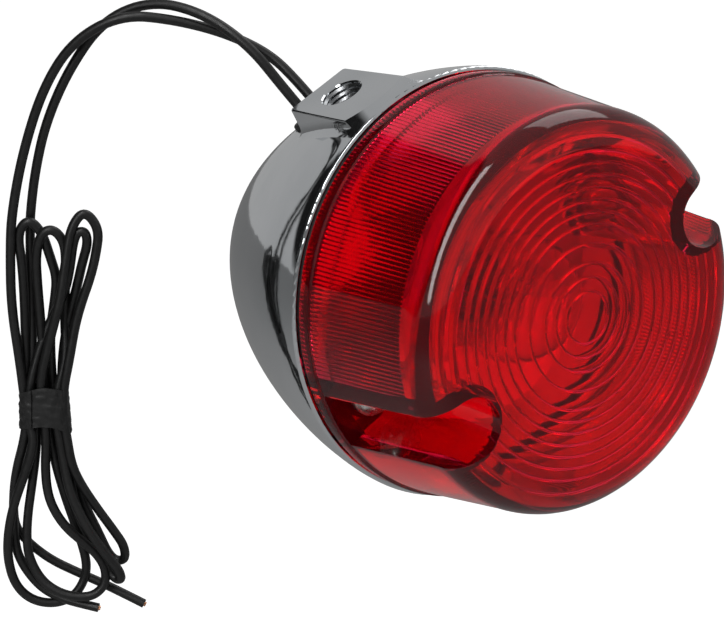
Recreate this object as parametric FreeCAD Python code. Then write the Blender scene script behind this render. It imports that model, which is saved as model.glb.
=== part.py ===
import FreeCAD, Part

import math
import os

from FreeCAD import Vector

# Round bullet tail light for a motorcycle, hung by the threaded stem hole in its boss.
# Everything is modelled in the light's upright frame (mm): the lens axis is Y, the lens looks
# along -Y, the boss stands up along +Z and y = 0 is the housing's rim. Each piece is then moved
# to the part's own frame: origin at the mouth of the stem hole, the boss leaning to one side.

# --- Driving dimensions (mm) ---------------------------------------------------------------
BOSS_LEAN_DEG = 30.0          # how far the boss leans to the side of plumb, towards -X

RIM_RADIUS = 42.3             # chrome rim of the housing
BULLET_LENGTH = 67.9          # rim to the nose
RIM_ROUND = 0.6
BULLET_POWER_Y = 1.56         # fullness of the bullet curve along the axis
BULLET_POWER_R = 1.79         # fullness of the bullet curve across the axis
WALL = 3.0
LEDGE_RADIUS = 38.6           # counterbore in the rim that takes the reflector
THROAT_RADIUS = 36.8
THROAT_DEPTH = 3.5

BOSS_TOP = 43.2
BOSS_HALF_WIDTH_REAR = 7.3
BOSS_HALF_WIDTH_FRONT = 7.7
BOSS_LENGTH = 22.5
BOSS_ROOT_DEPTH = 14.0        # how far the boss's block reaches down into the bullet
BOSS_FILLET = 2.6             # where the boss runs into the bullet
BOSS_CORNER_ROUND = 0.8
BOSS_TOP_ROUND = 0.35
BOSS_FRONT_SLOPE = 0.5        # the boss's front rises this much for each mm behind the rim
STEM_Y = 14.2
STEM_THREAD_RADIUS = 3.97     # 5/16 inch thread
STEM_HOLE_LENGTH = 10.0
STEM_PAD_RADIUS = 6.6
STEM_CHAMFER = 0.25

LENS_RADIUS = 41.5
LENS_WALL_RADIUS = 41.0
LENS_CORNER_Y = -26.4
LENS_CORNER_OUTER_RADIUS = 37.9
LENS_FACE_Y = -33.7
LENS_FACE_FLAT_RADIUS = 30.3
LENS_THICKNESS = 3.0
GASKET_THICKNESS = 0.8
FLANGE_THICKNESS = 2.6
RING_RADII = (5.2, 7.8, 10.4, 14.0, 17.5)   # steps of the lens's optical rings
RING_PITCH = 2.2              # beyond the last of those
RING_OUTER_RADIUS = 33.0
RING_STEP = 1.1

SCREW_RADIUS_FROM_AXIS = 31.75
RECESS_RADIUS = 6.0
RECESS_WALL = 1.8
RECESS_FLOOR_THICKNESS = 3.0
SCREW_MAJOR_RADIUS = 2.04
SCREW_MINOR_RADIUS = 1.66
SCREW_PITCH = 25.4 / 32
SCREW_HEAD_RADIUS = 4.05
SCREW_HEAD_HEIGHT = 2.7
SCREW_HEAD_EDGE = 0.9         # height of the head's upright edge
CROSS_LENGTH = 4.4
CROSS_WIDTH = 0.95
CROSS_DEPTH = 1.5
SCREW_SHANK_LENGTH = 12.7
SCREW_CLEARANCE_RADIUS = 2.4
SCREW_TAPPED_RADIUS = 2.08
WASHER_THICKNESS = 0.6
WASHER_RADIUS = 4.5
POST_RADIUS = 4.0
POST_DEPTH = 15.0

REFLECTOR_THICKNESS = 0.6
REFLECTOR_RADIUS = 38.4
REFLECTOR_FLAT_INNER_RADIUS = 26.5
REFLECTOR_FLOOR_RADIUS = 13.0
REFLECTOR_FLOOR_Y = 5.6

SOCKET_OUTER_RADIUS = 8.3
SOCKET_INNER_RADIUS = 7.7
SOCKET_MOUTH_Y = 5.0
SOCKET_END_Y = 40.0
SOCKET_LIP_RADIUS = 10.5
SOCKET_SHEET = 0.6
SOCKET_REAR_HOLE_RADIUS = 5.3

BULB_BASE_RADIUS = 7.5
BULB_BASE_FRONT_Y = 9.0
BULB_BASE_REAR_Y = 26.5
BULB_GLOBE_RADIUS = 13.25
BULB_GLOBE_Y = -9.0
BULB_NECK_RADIUS = 6.6
NECK_RISE = 16.0              # globe centre to the top of the straight neck
NECK_STRAIGHT = 4.2
NECK_FLARE = 0.9
SHOULDER_RISE = 8.5           # globe centre to where the neck's curve leaves the globe
GLASS_THICKNESS = 0.6
PIN_RADIUS = 1.0
PIN_YS = (19.5, 22.7)         # the two bayonet pins stand at different heights
BULB_PUSH = 2.0
BULB_TURN_DEG = 25.0
CONTACT_X = 3.2
CONTACT_FACE_Y = 29.5
DISC_FRONT_Y = 29.9
DISC_REAR_Y = 32.3
DISC_RADIUS = 7.3
STUD_END_Y = 36.0
SPRING_MEAN_RADIUS = 6.4
SPRING_WIRE_RADIUS = 0.35
SPRING_TURNS = 4
SPRING_ARCS_PER_TURN = 8

LEAD_DIAMETER = 2.0
LEAD_SPACING = 3.2
GROMMET_Y = 28.5
GROMMET_HOLE_RADIUS = 3.6
GROMMET_FLANGE_RADIUS = 4.6
GROMMET_PROUD = 1.0
GROMMET_SEAT_DEPTH = 0.5

HANK_CENTRE = Vector(-37.0, 56.0, -69.0)    # middle of the tape, in the part's own frame
HANK_TURN_DEG = 36.0          # the hank's flat side is turned this far from the lens axis
WAIST_HALF_WIDTH = 5.0        # the hank where the tape holds it
WAIST_HALF_DEPTH = 2.6
TAPE_THICKNESS = 0.5
TAPE_TOP = 4.2
TAPE_BOTTOM = -4.6

AXIS = Vector(0, 1, 0)
ORIGIN = Vector(0, 0, 0)
STEM_MOUTH = Vector(0, STEM_Y, BOSS_TOP)


# --- Placing and saving ---------------------------------------------------------------------
def to_part_frame(shape):
    """The upright light, leant over about the stem hole's mouth, which is the origin."""
    placed = shape.copy()
    placed.translate(STEM_MOUTH * -1)
    placed.rotate(ORIGIN, AXIS, -BOSS_LEAN_DEG)
    return placed


def point_in_part_frame(point):
    lean = FreeCAD.Rotation(AXIS, -BOSS_LEAN_DEG)
    return lean.multVec(point - STEM_MOUTH)


def save(shape, node):
    shape.exportStep("parts/" + node + ".step")


# --- Small shape helpers --------------------------------------------------------------------
def cylinder_y(radius, y_low, y_high, x=0.0, z=0.0):
    return Part.makeCylinder(radius, y_high - y_low, Vector(x, y_low, z), AXIS)


def ring_y(outer, inner, y_low, y_high, x=0.0, z=0.0):
    return cylinder_y(outer, y_low, y_high, x, z).cut(cylinder_y(inner, y_low, y_high, x, z))


def solid_of_revolution(edges):
    """Edges close a profile in the plane z = 0, with x as the radius; it turns about Y."""
    face = Part.Face(Part.Wire(edges))
    return face.revolve(ORIGIN, AXIS, 360)


def polygon_edges(points):
    """Straight edges through (radius, y) points, left open."""
    vectors = [Vector(r, y, 0) for r, y in points]
    return [Part.makeLine(a, b) for a, b in zip(vectors, vectors[1:])]


def revolved_polygon(points):
    return solid_of_revolution(polygon_edges(list(points) + [points[0]]))


def arc_edge(start, middle, end):
    return Part.Arc(Vector(*start, 0), Vector(*middle, 0), Vector(*end, 0)).toShape()


def bullet_radius(y, radius, length):
    return radius * (1 - (y / length) ** BULLET_POWER_Y) ** (1 / BULLET_POWER_R)


def bullet_edge(radius, length, start_y):
    """The bullet's outline from its wide end at start_y to its nose on the axis."""
    points = []
    steps = 14
    for i in range(steps + 1):
        turn = math.pi / 2 * i / steps
        y = length * math.sin(turn) ** (2 / BULLET_POWER_Y)
        r = radius * max(math.cos(turn), 0.0) ** (2 / BULLET_POWER_R)
        points.append(Vector(r if i < steps else 0.0, start_y + y, 0))
    curve = Part.BSplineCurve()
    curve.interpolate(points, InitialTangent=Vector(0, 1, 0), FinalTangent=Vector(-1, 0, 0))
    return curve.toShape()


def bullet_solid(radius, length, start_y):
    edges = polygon_edges([(0, start_y + length), (0, start_y), (radius, start_y)])
    return solid_of_revolution(edges + [bullet_edge(radius, length, start_y)])


def both_sides(make):
    """One copy on each side of the axis: +X first, then -X."""
    return [make(1), make(-1)]


# --- Housing --------------------------------------------------------------------------------
def housing_outside():
    """The bullet with its rounded rim, and the boss blended into it."""
    rim = cylinder_y(RIM_RADIUS, 0, RIM_ROUND)
    rim_edge = [e for e in rim.Edges if e.BoundBox.YMax < 0.01 and e.Closed]
    rim = rim.makeFillet(RIM_ROUND * 0.9, rim_edge)
    body = bullet_solid(RIM_RADIUS, BULLET_LENGTH - RIM_ROUND, RIM_ROUND)
    joined = body.fuse(boss_block()).removeSplitter()
    joined = joined.makeFillet(BOSS_FILLET, boss_root_edges(joined))
    return joined.cut(boss_front()).fuse(rim)


def boss_front():
    """The space in front of the boss, outside a ball on the lens axis that meets the rim."""
    ball_y = RIM_ROUND + BOSS_FRONT_SLOPE * RIM_RADIUS
    ball_radius = RIM_RADIUS * math.hypot(1, BOSS_FRONT_SLOPE)
    ball = Part.makeSphere(ball_radius, Vector(0, ball_y, 0))
    return cylinder_y(RIM_RADIUS + 10, RIM_ROUND, ball_y).cut(ball)


def boss_block():
    bottom = BOSS_TOP - BOSS_ROOT_DEPTH
    rear = BOSS_HALF_WIDTH_REAR
    front = BOSS_HALF_WIDTH_FRONT
    outline = [
        Vector(-front, RIM_ROUND, bottom),
        Vector(front, RIM_ROUND, bottom),
        Vector(rear, BOSS_LENGTH, bottom),
        Vector(-rear, BOSS_LENGTH, bottom),
        Vector(-front, RIM_ROUND, bottom),
    ]
    block = Part.Face(Part.makePolygon(outline)).extrude(Vector(0, 0, BOSS_TOP - bottom))
    upright = [e for e in block.Edges if e.BoundBox.ZLength > 10]
    block = block.makeFillet(BOSS_CORNER_ROUND, [e for e in upright if e.BoundBox.YMin > RIM_ROUND + 1])
    top = [e for e in block.Edges if e.BoundBox.ZMin > BOSS_TOP - 0.01]
    return block.makeFillet(BOSS_TOP_ROUND, [e for e in top if e.BoundBox.YMax > RIM_ROUND + 1])


def boss_root_edges(joined):
    """Where the boss's sides and rear run into the bullet."""
    edges = []
    for edge in joined.Edges:
        box = edge.BoundBox
        beside_boss = abs(box.Center.x) < 9 and box.ZMax < BOSS_TOP - 0.5 and box.ZMin > 30
        if beside_boss and box.YMax > RIM_ROUND + 0.1 and box.YMax < BOSS_LENGTH + 0.1:
            edges.append(edge)
    return edges


def housing_inside():
    ledge = cylinder_y(LEDGE_RADIUS, -1, REFLECTOR_THICKNESS)
    throat = cylinder_y(THROAT_RADIUS, -1, THROAT_DEPTH + 1)
    deep = bullet_solid(RIM_RADIUS - WALL, BULLET_LENGTH - WALL - THROAT_DEPTH, THROAT_DEPTH)
    return ledge.fuse([throat, deep])


def screw_post(side):
    return cylinder_y(POST_RADIUS, REFLECTOR_THICKNESS, 40, x=side * SCREW_RADIUS_FROM_AXIS)


def grommet_seat():
    """Where the leads come out: a point on the bullet behind the boss, and the way out."""
    y = GROMMET_Y - RIM_ROUND
    length = BULLET_LENGTH - RIM_ROUND
    z = bullet_radius(y, RIM_RADIUS, length)
    slope = (bullet_radius(y + 0.1, RIM_RADIUS, length) - z) / 0.1
    way_out = Vector(0, -slope, 1).normalize()
    return Vector(0, GROMMET_Y, z), way_out


def housing():
    outside = housing_outside()
    shell = outside.cut(housing_inside())
    pad = Part.makeCylinder(STEM_PAD_RADIUS, STEM_HOLE_LENGTH, STEM_MOUTH, Vector(0, 0, -1))
    inner_lumps = both_sides(screw_post) + [pad]
    shell = shell.fuse([lump.common(outside) for lump in inner_lumps])
    stem_hole = Part.makeCylinder(STEM_THREAD_RADIUS, 30, STEM_MOUTH, Vector(0, 0, -1))
    stem_mouth = Part.makeCone(
        STEM_THREAD_RADIUS + STEM_CHAMFER,
        STEM_THREAD_RADIUS,
        STEM_CHAMFER,
        STEM_MOUTH,
        Vector(0, 0, -1),
    )
    seat, way_out = grommet_seat()
    lead_hole = Part.makeCylinder(GROMMET_HOLE_RADIUS, 14, seat - way_out * 10, way_out)
    spot_face = Part.makeCylinder(
        GROMMET_FLANGE_RADIUS + 0.2, 6, seat - way_out * GROMMET_SEAT_DEPTH, way_out
    )
    tapped = both_sides(
        lambda side: cylinder_y(SCREW_TAPPED_RADIUS, 0, POST_DEPTH, x=side * SCREW_RADIUS_FROM_AXIS)
    )
    reflector_room = cylinder_y(LEDGE_RADIUS, -1, REFLECTOR_THICKNESS)
    return shell.cut([stem_hole, stem_mouth, lead_hole, spot_face, reflector_room] + tapped)


def wire_grommet():
    seat, way_out = grommet_seat()
    foot = seat - way_out * GROMMET_SEAT_DEPTH
    flange = Part.makeCylinder(
        GROMMET_FLANGE_RADIUS, GROMMET_SEAT_DEPTH + GROMMET_PROUD, foot, way_out
    )
    flange = flange.makeFillet(0.6, [e for e in flange.Edges if e.Closed][:1])
    neck = Part.makeCylinder(GROMMET_HOLE_RADIUS, 4.2, foot - way_out * 4.2, way_out)
    grommet = flange.fuse(neck)
    bores = both_sides(
        lambda side: Part.makeCylinder(
            LEAD_DIAMETER / 2,
            12,
            foot - way_out * 6 + Vector(side * LEAD_SPACING / 2, 0, 0),
            way_out,
        )
    )
    return grommet.cut(bores)


# --- Lens, gasket and lens screws -----------------------------------------------------------
def recess_prism(side, grow, y_low, y_high):
    """A screw recess's space: half round towards the axis, straight sides out past the lens."""
    radius = RECESS_RADIUS + grow
    centre = side * SCREW_RADIUS_FROM_AXIS
    tube = cylinder_y(radius, y_low, y_high, x=centre)
    length = y_high - y_low
    start_x = centre if side > 0 else centre - 14
    return tube.fuse(Part.makeBox(14, length, 2 * radius, Vector(start_x, y_low, -radius)))


def lens_outside():
    flange_front = -GASKET_THICKNESS - FLANGE_THICKNESS
    corner_middle_r = LENS_FACE_FLAT_RADIUS + (LENS_CORNER_OUTER_RADIUS - LENS_FACE_FLAT_RADIUS) * 0.72
    corner_middle_y = LENS_CORNER_Y + (LENS_FACE_Y - LENS_CORNER_Y) * 0.72
    edges = polygon_edges(
        [
            (0, LENS_FACE_Y),
            (0, -GASKET_THICKNESS),
            (LENS_RADIUS, -GASKET_THICKNESS),
            (LENS_RADIUS, flange_front + 0.4),
            (LENS_RADIUS - 0.4, flange_front),
            (LENS_WALL_RADIUS, flange_front),
            (LENS_CORNER_OUTER_RADIUS, LENS_CORNER_Y),
        ]
    )
    edges.append(
        arc_edge(
            (LENS_CORNER_OUTER_RADIUS, LENS_CORNER_Y),
            (corner_middle_r, corner_middle_y),
            (LENS_FACE_FLAT_RADIUS, LENS_FACE_Y),
        )
    )
    edges += polygon_edges([(LENS_FACE_FLAT_RADIUS, LENS_FACE_Y), (0, LENS_FACE_Y)])
    return solid_of_revolution(edges)


def ring_radii():
    """Radii of the optical rings on the inside of the lens face."""
    radii = list(RING_RADII)
    while radii[-1] + RING_PITCH < RING_OUTER_RADIUS:
        radii.append(radii[-1] + RING_PITCH)
    return radii


def lens_inside():
    """The lens's hollow, with the saw-tooth rings standing into it from the face."""
    inner_face = LENS_FACE_Y + LENS_THICKNESS
    points = [(0, -GASKET_THICKNESS), (0, inner_face)]
    for radius in ring_radii():
        points.append((radius, inner_face + RING_STEP))
        points.append((radius, inner_face))
    points += [
        (LENS_CORNER_OUTER_RADIUS - LENS_THICKNESS, inner_face + RING_STEP),
        (LENS_CORNER_OUTER_RADIUS - LENS_THICKNESS, LENS_CORNER_Y),
        (LENS_WALL_RADIUS - LENS_THICKNESS, -GASKET_THICKNESS),
    ]
    return revolved_polygon(points)


def lens():
    floor_low = -GASKET_THICKNESS - RECESS_FLOOR_THICKNESS
    hollow = lens_inside()
    lining = both_sides(lambda side: recess_prism(side, RECESS_WALL, LENS_FACE_Y - 1, 1))
    cup = lens_outside().cut(hollow.cut(lining))
    recesses = both_sides(lambda side: recess_prism(side, 0, LENS_FACE_Y - 1, floor_low))
    screw_holes = both_sides(
        lambda side: cylinder_y(
            SCREW_CLEARANCE_RADIUS, floor_low - 1, 1, x=side * SCREW_RADIUS_FROM_AXIS
        )
    )
    return cup.cut(recesses + screw_holes)


def lens_gasket():
    band = ring_y(LENS_RADIUS - 0.5, THROAT_RADIUS, -GASKET_THICKNESS, 0)
    ears = both_sides(
        lambda side: cylinder_y(5.4, -GASKET_THICKNESS, 0, x=side * SCREW_RADIUS_FROM_AXIS)
    )
    holes = both_sides(
        lambda side: cylinder_y(
            SCREW_CLEARANCE_RADIUS, -GASKET_THICKNESS, 0, x=side * SCREW_RADIUS_FROM_AXIS
        )
    )
    return band.fuse(ears).removeSplitter().cut(holes)


def head_seat_y():
    return -GASKET_THICKNESS - RECESS_FLOOR_THICKNESS - WASHER_THICKNESS


def lens_washer(side):
    """Spring washer with a slanted split."""
    x = side * SCREW_RADIUS_FROM_AXIS
    seat = head_seat_y()
    washer = ring_y(WASHER_RADIUS, SCREW_CLEARANCE_RADIUS, seat, seat + WASHER_THICKNESS, x=x)
    split = Part.makeBox(8, 4, 0.5, Vector(x, seat - 1, -0.25))
    split.rotate(Vector(x, seat, 0), Vector(1, 0, 0), 20)
    return washer.cut(split)


def lens_screw(side):
    """Pan-head machine screw: domed head with a cross recess, and a ridged shank."""
    x = side * SCREW_RADIUS_FROM_AXIS
    seat = head_seat_y()
    top = seat - SCREW_HEAD_HEIGHT
    edge_y = seat - SCREW_HEAD_EDGE
    edges = polygon_edges([(0, top), (0, seat), (SCREW_HEAD_RADIUS, seat), (SCREW_HEAD_RADIUS, edge_y)])
    edges.append(
        arc_edge(
            (SCREW_HEAD_RADIUS, edge_y),
            (SCREW_HEAD_RADIUS * 0.76, seat - SCREW_HEAD_HEIGHT * 0.84),
            (0, top),
        )
    )
    screw = solid_of_revolution(edges).fuse(threaded_shank(seat))
    slot = Part.makeBox(
        CROSS_LENGTH,
        CROSS_DEPTH,
        CROSS_WIDTH,
        Vector(-CROSS_LENGTH / 2, top - 0.1, -CROSS_WIDTH / 2),
    )
    cross = slot.copy()
    cross.rotate(ORIGIN, AXIS, 90)
    screw = screw.cut([slot, cross])
    screw.translate(Vector(x, 0, 0))
    return screw


def threaded_shank(seat):
    """Shank with one ridge for each turn of the thread."""
    points = [(0, seat), (SCREW_MINOR_RADIUS, seat)]
    turns = int(SCREW_SHANK_LENGTH / SCREW_PITCH)
    for turn in range(turns):
        y = seat + 0.3 + turn * SCREW_PITCH
        points.append((SCREW_MINOR_RADIUS, y))
        points.append((SCREW_MAJOR_RADIUS, y + SCREW_PITCH * 0.4))
        points.append((SCREW_MAJOR_RADIUS, y + SCREW_PITCH * 0.52))
        points.append((SCREW_MINOR_RADIUS, y + SCREW_PITCH * 0.92))
    points.append((SCREW_MINOR_RADIUS - 0.4, seat + SCREW_SHANK_LENGTH))
    points.append((0, seat + SCREW_SHANK_LENGTH))
    return revolved_polygon(points)


# --- Reflector and bulb socket --------------------------------------------------------------
def reflector():
    """Flat rim clamped between gasket and housing, then a dish down to the socket."""
    t = REFLECTOR_THICKNESS
    dish = revolved_polygon(
        [
            (REFLECTOR_RADIUS, 0),
            (REFLECTOR_FLAT_INNER_RADIUS, 0),
            (REFLECTOR_FLOOR_RADIUS, REFLECTOR_FLOOR_Y),
            (SOCKET_OUTER_RADIUS, REFLECTOR_FLOOR_Y),
            (SOCKET_OUTER_RADIUS, REFLECTOR_FLOOR_Y + t),
            (REFLECTOR_FLOOR_RADIUS, REFLECTOR_FLOOR_Y + t),
            (REFLECTOR_FLAT_INNER_RADIUS, t),
            (REFLECTOR_RADIUS, t),
        ]
    )
    holes = both_sides(
        lambda side: cylinder_y(SCREW_CLEARANCE_RADIUS, -1, 2, x=side * SCREW_RADIUS_FROM_AXIS)
    )
    return dish.cut(holes)


def socket_shell():
    """Drawn steel tube, its mouth rolled over the reflector, slotted for the bayonet pins."""
    tube = ring_y(SOCKET_OUTER_RADIUS, SOCKET_INNER_RADIUS, SOCKET_MOUTH_Y, SOCKET_END_Y)
    lip = ring_y(SOCKET_LIP_RADIUS, SOCKET_INNER_RADIUS, SOCKET_MOUTH_Y, SOCKET_MOUTH_Y + SOCKET_SHEET)
    end = ring_y(
        SOCKET_OUTER_RADIUS, SOCKET_REAR_HOLE_RADIUS, SOCKET_END_Y - SOCKET_SHEET, SOCKET_END_Y
    )
    shell = tube.fuse([lip, end])
    return shell.cut([bayonet_slot(PIN_YS[0], 90), bayonet_slot(PIN_YS[1], 270)])


def bayonet_slot(pin_y, pin_angle):
    """L-shaped slot: straight in from the mouth, then round to where the pin locks."""
    half = PIN_RADIUS + 0.2
    reach = SOCKET_OUTER_RADIUS + 1
    half_angle = math.degrees(half / SOCKET_OUTER_RADIUS)
    run = Part.makeCylinder(
        reach,
        2 * half + BULB_PUSH,
        Vector(0, pin_y - half, 0),
        AXIS,
        BULB_TURN_DEG + 2 * half_angle,
    )
    run = run.cut(cylinder_y(SOCKET_INNER_RADIUS - 1, 0, 60))
    # A cylinder's sweep about +Y starts at +Z and turns towards +X
    run.rotate(ORIGIN, AXIS, 90 - pin_angle - BULB_TURN_DEG - half_angle)
    entry = Part.makeBox(2 * half, pin_y + BULB_PUSH, reach, Vector(-half, 0, 0))
    entry.rotate(ORIGIN, AXIS, 90 - pin_angle - BULB_TURN_DEG)
    return run.fuse(entry).cut(cylinder_y(SOCKET_INNER_RADIUS - 1, -1, 60))


def contact_disc():
    disc = cylinder_y(DISC_RADIUS, DISC_FRONT_Y, DISC_REAR_Y)
    holes = both_sides(lambda side: cylinder_y(1.3, DISC_FRONT_Y, DISC_REAR_Y, x=side * CONTACT_X))
    return disc.cut(holes)


def contact_studs():
    """Two brass buttons through the disc, each with a barrel behind for its lead."""
    studs = []
    for x in (CONTACT_X, -CONTACT_X):
        button = cylinder_y(2.1, CONTACT_FACE_Y, DISC_FRONT_Y, x=x)
        barrel = cylinder_y(1.3, DISC_FRONT_Y, STUD_END_Y, x=x)
        collar = ring_y(1.9, 1.3, DISC_REAR_Y, DISC_REAR_Y + 0.5, x=x)
        studs.append(button.fuse([barrel, collar]))
    return Part.makeCompound(studs)


def contact_spring():
    """Coil spring between the disc and the socket's rear lip, its helix made of short arcs."""
    low = DISC_REAR_Y + SPRING_WIRE_RADIUS
    height = SOCKET_END_Y - SOCKET_SHEET - SPRING_WIRE_RADIUS - low
    rise = height / (SPRING_TURNS * 2 * math.pi)

    def along(step):
        turn = 2 * math.pi * step / SPRING_ARCS_PER_TURN
        x = SPRING_MEAN_RADIUS * math.cos(turn)
        z = SPRING_MEAN_RADIUS * math.sin(turn)
        return Vector(x, low + rise * turn, z)

    arcs = []
    for step in range(SPRING_TURNS * SPRING_ARCS_PER_TURN):
        arcs.append(Part.Arc(along(step), along(step + 0.5), along(step + 1)).toShape())
    start_way = Vector(0, rise, SPRING_MEAN_RADIUS)
    section = Part.Wire(Part.makeCircle(SPRING_WIRE_RADIUS, along(0), start_way))
    return Part.Wire(arcs).makePipeShell([section], True, True)


# --- Bulb -----------------------------------------------------------------------------------
def globe_outline(shrink):
    """Edges from the glass's neck round its globe to the tip on the axis."""
    radius = BULB_GLOBE_RADIUS - shrink
    neck = BULB_NECK_RADIUS - shrink
    neck_y = BULB_GLOBE_Y + NECK_RISE
    shoulder_y = BULB_GLOBE_Y + SHOULDER_RISE
    shoulder_r = math.sqrt(radius**2 - SHOULDER_RISE**2)
    curve = Part.BSplineCurve()
    curve.interpolate(
        [
            Vector(neck, neck_y, 0),
            Vector(neck + NECK_FLARE, neck_y - NECK_STRAIGHT, 0),
            Vector(shoulder_r, shoulder_y, 0),
        ],
        InitialTangent=Vector(0, -1, 0),
        FinalTangent=Vector(SHOULDER_RISE, -shoulder_r, 0),
    )
    middle = radius * math.sqrt(0.5)
    globe = arc_edge(
        (shoulder_r, shoulder_y), (middle, BULB_GLOBE_Y - middle), (0, BULB_GLOBE_Y - radius)
    )
    return curve.toShape(), globe, neck, neck_y


def bulb_glass():
    """Thin glass globe, open at the neck inside the base."""
    bottom = BULB_BASE_FRONT_Y + 3
    solids = []
    for shrink in (0, GLASS_THICKNESS):
        curve, globe, neck, neck_y = globe_outline(shrink)
        tip = BULB_GLOBE_Y - BULB_GLOBE_RADIUS + shrink
        edges = [curve, globe] + polygon_edges([(0, tip), (0, bottom), (neck, bottom), (neck, neck_y)])
        solids.append(solid_of_revolution(Part.__sortEdges__(edges)))
    return solids[0].cut(solids[1])


def bulb_base():
    """Thin metal cap, open in front where the glass enters."""
    wall = 0.35
    rear = BULB_BASE_REAR_Y
    return revolved_polygon(
        [
            (BULB_BASE_RADIUS, BULB_BASE_FRONT_Y),
            (BULB_BASE_RADIUS, rear - 0.8),
            (BULB_BASE_RADIUS - 0.8, rear),
            (5.2, rear),
            (5.2, rear - wall),
            (BULB_BASE_RADIUS - 1.0, rear - wall),
            (BULB_BASE_RADIUS - wall, rear - 1.1),
            (BULB_BASE_RADIUS - wall, BULB_BASE_FRONT_Y),
        ]
    )


def bulb_insulator():
    """Black glass plug in the end of the base, domed, with two holes for the contacts."""
    plug = revolved_polygon(
        [
            (0, BULB_BASE_REAR_Y - 2.2),
            (5.2, BULB_BASE_REAR_Y - 2.2),
            (5.2, BULB_BASE_REAR_Y),
            (6.2, BULB_BASE_REAR_Y),
            (5.2, BULB_BASE_REAR_Y + 1.2),
            (0, BULB_BASE_REAR_Y + 1.6),
        ]
    )
    holes = both_sides(
        lambda side: cylinder_y(1.2, BULB_BASE_REAR_Y - 3, CONTACT_FACE_Y, x=side * CONTACT_X)
    )
    return plug.cut(holes)


def bulb_contacts():
    contacts = []
    for x in (CONTACT_X, -CONTACT_X):
        stalk = cylinder_y(1.2, BULB_BASE_REAR_Y - 1.8, CONTACT_FACE_Y, x=x)
        rim = [e for e in stalk.Edges if e.Closed and e.BoundBox.YMin > CONTACT_FACE_Y - 0.01]
        contacts.append(stalk.makeFillet(0.4, rim))
    return Part.makeCompound(contacts)


def bulb_pins():
    pins = []
    for y, side in zip(PIN_YS, (1, -1)):
        start = Vector(0, y, side * (BULB_BASE_RADIUS - 0.35))
        length = SOCKET_OUTER_RADIUS + 0.2 - BULB_BASE_RADIUS + 0.35
        pins.append(Part.makeCylinder(PIN_RADIUS, length, start, Vector(0, 0, side)))
    pins = [pin.cut(cylinder_y(BULB_BASE_RADIUS, 0, 40)) for pin in pins]
    return Part.makeCompound(pins)


def bulb_stem():
    """Glass stem inside the bulb that the filament supports grow from."""
    return revolved_polygon([(0, 15), (4.4, 15), (4.4, 12.2), (2.4, 10), (1.6, 2.0), (0, 1.2)])


def bulb_supports():
    """Four wires up from the stem, two for each filament."""
    wires = []
    for x, y_end in ((-3.4, -10.6), (3.4, -10.6), (-2.6, -4.8), (2.6, -4.8)):
        z = 1.4 if y_end < -8 else -1.4
        bend = Vector(x, 0.5, z)
        foot = Vector(x * 0.28, 3.2, z * 0.5)
        wires.append(rod_between(foot, bend, 0.22).fuse(rod_between(bend, Vector(x, y_end, z), 0.22)))
    return Part.makeCompound(wires)


def rod_between(start, end, radius):
    along = end - start
    return Part.makeCylinder(radius, along.Length, start, along)


def bulb_filaments():
    """Two coiled filaments across the tops of their supports."""
    coils = []
    for half, y, z in ((3.18, -10.6, 1.4), (2.38, -4.8, -1.4)):
        coils.append(Part.makeCylinder(0.4, 2 * half, Vector(-half, y, z), Vector(1, 0, 0)))
    return Part.makeCompound(coils)


# --- Leads ----------------------------------------------------------------------------------
def lead_tube(route, name):
    """Round lead along straight runs joined by tangent arcs, as large as the runs allow."""
    edges = []
    radii = []
    here = route[0]
    for before, corner, after in zip(route, route[1:], route[2:]):
        run_in = corner - before
        run_out = after - corner
        turn = run_in.getAngle(run_out)
        trim = 0.45 * min(run_in.Length, run_out.Length)
        radii.append(trim / math.tan(turn / 2))
        way_in = Vector(run_in).normalize()
        way_out = Vector(run_out).normalize()
        arc_start = corner - way_in * trim
        arc_end = corner + way_out * trim
        inward = Vector(way_out - way_in).normalize()
        rise = radii[-1] * (1 / math.cos(turn / 2) - 1)
        edges.append(Part.makeLine(here, arc_start))
        edges.append(Part.Arc(arc_start, corner + inward * rise, arc_end).toShape())
        here = arc_end
    edges.append(Part.makeLine(here, route[-1]))
    length = sum(edge.Length for edge in edges)
    start_way = (route[1] - route[0]).normalize()
    section = Part.Wire(Part.makeCircle(LEAD_DIAMETER / 2, route[0], start_way))
    tube = Part.Wire(edges).makePipeShell([section], True, True)
    expected = math.pi * (LEAD_DIAMETER / 2) ** 2 * length
    print(name, "length %.1f" % length, "radii", " ".join("%.1f" % r for r in radii))
    print(name, "volume / (section x length) %.4f" % (tube.Volume / expected), tube.isValid())
    return tube


def inside_lead(side):
    """From a contact stud, out through the back of the socket and up through the grommet."""
    seat, way_out = grommet_seat()
    x = side * LEAD_SPACING / 2
    top = seat + way_out * GROMMET_PROUD + Vector(x, 0, 0)
    below = seat - way_out * 8 + Vector(x, 0, 0)
    stud = Vector(side * CONTACT_X, STUD_END_Y, 0)
    return [
        stud,
        stud + Vector(0, 8.5, 0),
        Vector(side * 3.4, 50.5, 6.5),
        Vector(side * 3.2, 48, 15.5),
        Vector(side * 2.6, 39.5, 20.5),
        Vector(side * 2.0, 30.5, 22),
        below,
        top,
    ]


def hank_point(across, towards, up):
    """A point given in the hank's own directions, in the part's frame."""
    turn = math.radians(HANK_TURN_DEG)
    across_way = Vector(math.cos(turn), -math.sin(turn), 0)
    towards_way = Vector(-math.sin(turn), -math.cos(turn), 0)
    return HANK_CENTRE + across_way * across + towards_way * towards + Vector(0, 0, up)


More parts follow.
